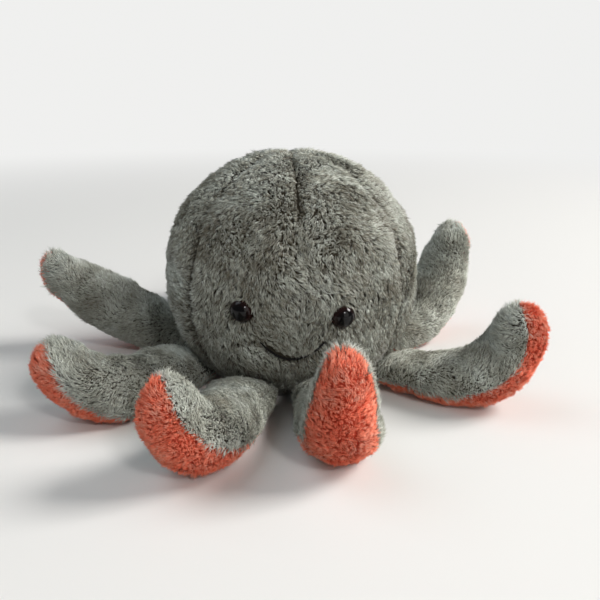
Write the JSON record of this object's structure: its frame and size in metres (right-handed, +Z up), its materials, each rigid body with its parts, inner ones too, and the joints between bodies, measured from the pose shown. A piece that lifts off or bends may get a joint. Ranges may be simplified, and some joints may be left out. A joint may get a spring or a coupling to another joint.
{
  "type": "plush octopus",
  "caption": "Stuffed pile-fabric octopus with a round head, safety eyes, a stitched smile and tentacles that swing at their sewn roots.",
  "frame": {"origin": "centre of the round base that the head sits on", "axes": "+Z up out of the crown, the face looks along -Y, +X to the right as one looks at the face"},
  "size_m": [0.2625, 0.2514, 0.1157],
  "materials": {
    "grey_plush": "short dense grey-green pile fabric",
    "coral_plush": "short dense coral pile fabric",
    "polyester_filling": "white polyester fibre filling",
    "eye_gloss": "polished black-brown safety eye",
    "washer_plastic": "natural white lock washer",
    "mouth_thread": "black embroidery thread"
  },
  "bodies": {
    "head": {"head_panel_front_left": "grey_plush", "head_panel_left": "grey_plush", "head_panel_rear_left": "grey_plush", "head_panel_rear_right": "grey_plush", "head_panel_right": "grey_plush", "head_panel_front_right": "grey_plush", "head_base": "grey_plush", "head_filling": "polyester_filling", "eye_left": "eye_gloss", "eye_right": "eye_gloss", "eye_washer_left": "washer_plastic", "eye_washer_right": "washer_plastic", "mouth": "mouth_thread"},
    "tentacle_front": {"tentacle_front_top": "grey_plush", "tentacle_front_underside": "coral_plush", "tentacle_front_filling": "polyester_filling"},
    "tentacle_front_left": {"tentacle_front_left_top": "grey_plush", "tentacle_front_left_underside": "coral_plush", "tentacle_front_left_filling": "polyester_filling"},
    "tentacle_left": {"tentacle_left_top": "grey_plush", "tentacle_left_underside": "coral_plush", "tentacle_left_filling": "polyester_filling"},
    "tentacle_rear_left": {"tentacle_rear_left_top": "grey_plush", "tentacle_rear_left_underside": "coral_plush", "tentacle_rear_left_filling": "polyester_filling"},
    "tentacle_rear": {"tentacle_rear_top": "grey_plush", "tentacle_rear_underside": "coral_plush", "tentacle_rear_filling": "polyester_filling"},
    "tentacle_rear_right": {"tentacle_rear_right_top": "grey_plush", "tentacle_rear_right_underside": "coral_plush", "tentacle_rear_right_filling": "polyester_filling"},
    "tentacle_right": {"tentacle_right_top": "grey_plush", "tentacle_right_underside": "coral_plush", "tentacle_right_filling": "polyester_filling"},
    "tentacle_front_right": {"tentacle_front_right_top": "grey_plush", "tentacle_front_right_underside": "coral_plush", "tentacle_front_right_filling": "polyester_filling"}
  },
  "joints": [
    {"name": "tentacle_front_lift", "type": "hinge", "parent": "head", "child": "tentacle_front", "pos_m": [0.01422, -0.04652, 0.008], "axis": [-0.9563, -0.2924, 0], "range_deg": [-35, 20], "stiffness_Nm_per_rad": 0.06},
    {"name": "tentacle_front_left_lift", "type": "hinge", "parent": "head", "child": "tentacle_front_left", "pos_m": [-0.01823, -0.04513, 0.008], "axis": [-0.9272, 0.3746, 0], "range_deg": [-35, 20], "stiffness_Nm_per_rad": 0.06},
    {"name": "tentacle_left_lift", "type": "hinge", "parent": "head", "child": "tentacle_left", "pos_m": [-0.04512, -0.01823, 0.008], "axis": [-0.3746, 0.9272, 0], "range_deg": [-35, 20], "stiffness_Nm_per_rad": 0.06},
    {"name": "tentacle_rear_left_lift", "type": "hinge", "parent": "head", "child": "tentacle_rear_left", "pos_m": [-0.04457, 0.01892, 0.008], "axis": [0.3907, 0.9205, 0], "range_deg": [-35, 20], "stiffness_Nm_per_rad": 0.06},
    {"name": "tentacle_rear_lift", "type": "hinge", "parent": "head", "child": "tentacle_rear", "pos_m": [-0.01664, 0.04572, 0.008], "axis": [0.9397, 0.342, 0], "range_deg": [-35, 20], "stiffness_Nm_per_rad": 0.06},
    {"name": "tentacle_rear_right_lift", "type": "hinge", "parent": "head", "child": "tentacle_rear_right", "pos_m": [0.0198, 0.04446, 0.008], "axis": [0.9135, -0.4067, 0], "range_deg": [-35, 20], "stiffness_Nm_per_rad": 0.06},
    {"name": "tentacle_right_lift", "type": "hinge", "parent": "head", "child": "tentacle_right", "pos_m": [0.04537, 0.01742, 0.008], "axis": [0.3584, -0.9336, 0], "range_deg": [-35, 20], "stiffness_Nm_per_rad": 0.06},
    {"name": "tentacle_front_right_lift", "type": "hinge", "parent": "head", "child": "tentacle_front_right", "pos_m": [0.04365, -0.02129, 0.008], "axis": [-0.4384, -0.8988, 0], "range_deg": [-35, 20], "stiffness_Nm_per_rad": 0.06}
  ]
}
